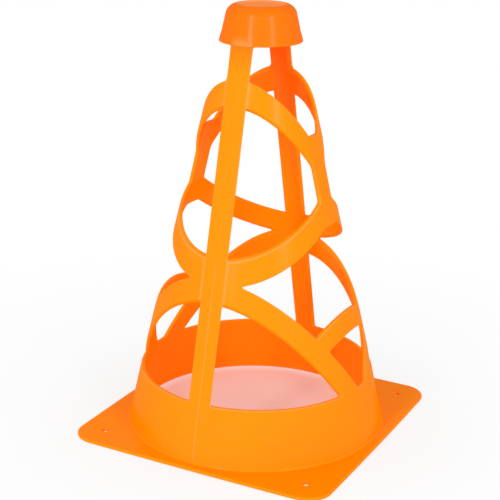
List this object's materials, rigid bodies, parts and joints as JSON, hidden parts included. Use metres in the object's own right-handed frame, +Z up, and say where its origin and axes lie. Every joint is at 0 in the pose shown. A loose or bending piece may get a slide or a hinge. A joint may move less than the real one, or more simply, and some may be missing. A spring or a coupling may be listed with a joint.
{
  "type": "sports marker cone",
  "caption": "Open lattice marker cone in orange plastic on a square base, with a hollow dished cap; stands on pitches and stacks with others.",
  "frame": {"origin": "on the floor under the cone's axis", "axes": "+Z up along the cone's axis, front leg towards -Y, windows cut along X"},
  "size_m": [0.1512, 0.1512, 0.23],
  "materials": {
    "orange_plastic": "soft satin injection-moulded polyethylene"
  },
  "bodies": {
    "root": {"base_plate": "orange_plastic", "skirt_ring": "orange_plastic", "front_leg": "orange_plastic", "back_leg": "orange_plastic", "left_strut": "orange_plastic", "right_strut": "orange_plastic", "left_cross_bar": "orange_plastic", "right_cross_bar": "orange_plastic", "top_cap": "orange_plastic", "upper_band_front_right": "orange_plastic", "upper_band_front_left": "orange_plastic", "upper_band_back_right": "orange_plastic", "upper_band_back_left": "orange_plastic", "middle_band_front_right": "orange_plastic", "middle_band_front_left": "orange_plastic", "middle_band_back_right": "orange_plastic", "middle_band_back_left": "orange_plastic", "lower_band_front_right": "orange_plastic", "lower_band_front_left": "orange_plastic", "lower_band_back_right": "orange_plastic", "lower_band_back_left": "orange_plastic"}
  },
  "joints": []
}
